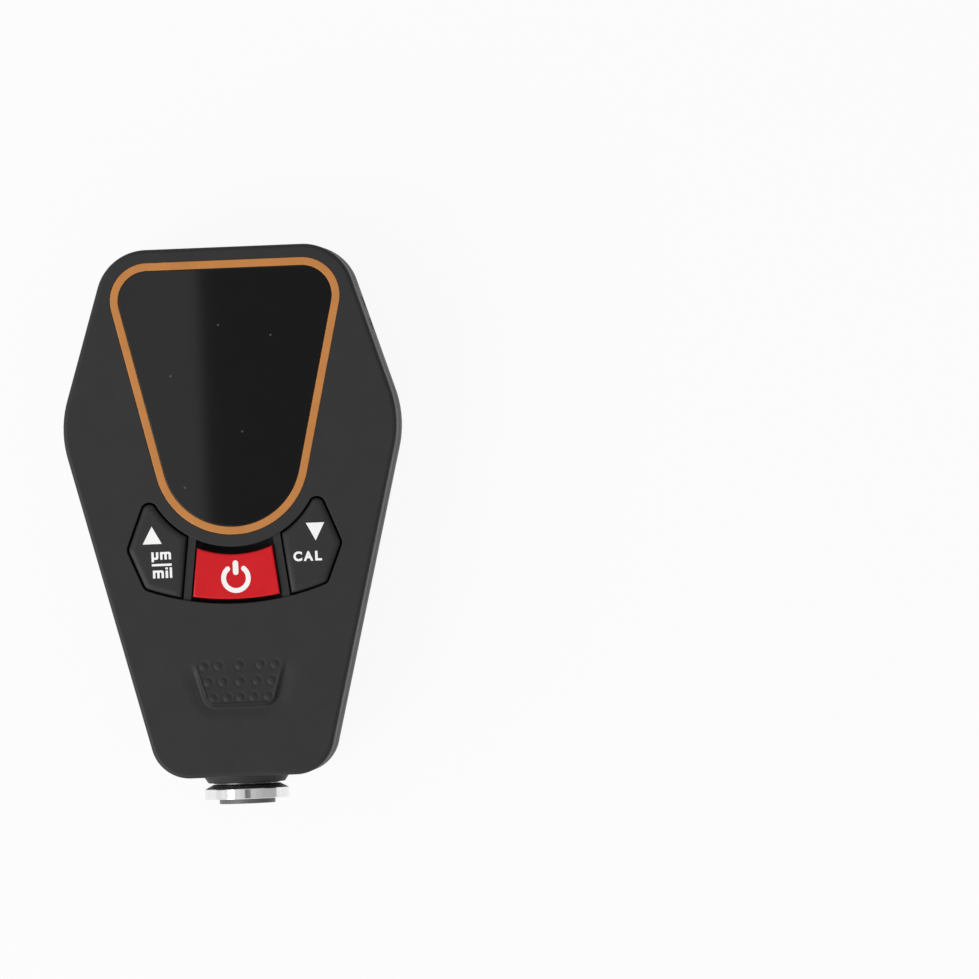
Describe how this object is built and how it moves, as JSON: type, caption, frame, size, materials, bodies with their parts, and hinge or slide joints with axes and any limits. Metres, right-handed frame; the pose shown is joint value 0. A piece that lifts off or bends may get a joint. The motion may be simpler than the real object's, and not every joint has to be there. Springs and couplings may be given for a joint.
{
  "type": "coating thickness gauge",
  "caption": "Hand-held coating thickness gauge: six-sided matte case with a display lens, push keys, a thumb grip and a spring-loaded probe at the narrow end.",
  "frame": {"origin": "middle of the part's box, on the plane of the rear face that it lies on", "axes": "+X across the case, +Y towards the display end, away from the probe, +Z out of the display face"},
  "size_m": [0.0616, 0.103, 0.0268],
  "materials": {
    "case_plastic": "fine matte soft-touch texture",
    "bezel_orange": "satin",
    "lens_black": "polished",
    "foam": "closed-cell foam",
    "panel_glass": "polished",
    "white_plastic": "satin",
    "board": "solder mask",
    "chip_plastic": "moulded",
    "key_black": "satin",
    "key_red": "satin",
    "battery_foil": "satin foil",
    "lead_jacket": "smooth",
    "plated_steel": "plated",
    "turned_steel": "turned and polished",
    "tip_grey": "satin",
    "ferrite": "ground",
    "copper": "enamelled wire"
  },
  "bodies": {
    "housing": {"front_cover": "case_plastic", "rear_cover": "case_plastic", "bezel_ring": "bezel_orange", "display_lens": "lens_black", "lens_gasket": "foam", "lcd_panel": "panel_glass", "backlight": "white_plastic", "main_board": "board", "controller_chip": "chip_plastic", "unit_switch": "chip_plastic", "power_switch": "chip_plastic", "calibrate_switch": "chip_plastic", "battery": "battery_foil", "battery_pad": "foam", "battery_plug": "white_plastic", "battery_lead": "lead_jacket", "usb_socket": "plated_steel", "usb_tongue": "chip_plastic", "probe_collar": "case_plastic", "nose_ring": "turned_steel", "sensor_spring": "plated_steel", "spring_cap": "tip_grey", "sensor_lead": "lead_jacket", "lead_plug": "white_plastic", "case_screws": "plated_steel"},
    "unit_button": {"unit_key": "key_black", "unit_plunger": "white_plastic"},
    "power_button": {"power_key": "key_red", "power_plunger": "white_plastic"},
    "calibrate_button": {"calibrate_key": "key_black", "calibrate_plunger": "white_plastic"},
    "sensor": {"sensor_tip": "tip_grey", "sensor_core": "ferrite", "coil_bobbin": "white_plastic", "sensor_coil": "copper", "sensor_plug": "chip_plastic"}
  },
  "joints": [
    {"name": "unit_press", "type": "slide", "parent": "housing", "child": "unit_button", "axis": [0, 0, -1], "range_m": [0, 0.0007], "stiffness_N_per_m": 2000, "springref_m": -0.0002},
    {"name": "power_press", "type": "slide", "parent": "housing", "child": "power_button", "axis": [0, 0, -1], "range_m": [0, 0.0007], "stiffness_N_per_m": 2000, "springref_m": -0.0002},
    {"name": "calibrate_press", "type": "slide", "parent": "housing", "child": "calibrate_button", "axis": [0, 0, -1], "range_m": [0, 0.0007], "stiffness_N_per_m": 2000, "springref_m": -0.0002},
    {"name": "sensor_slide", "type": "slide", "parent": "housing", "child": "sensor", "axis": [0, 1, 0], "range_m": [0, 0.0009], "stiffness_N_per_m": 1500, "springref_m": -0.0005, "deforming": ["sensor_spring"]}
  ]
}
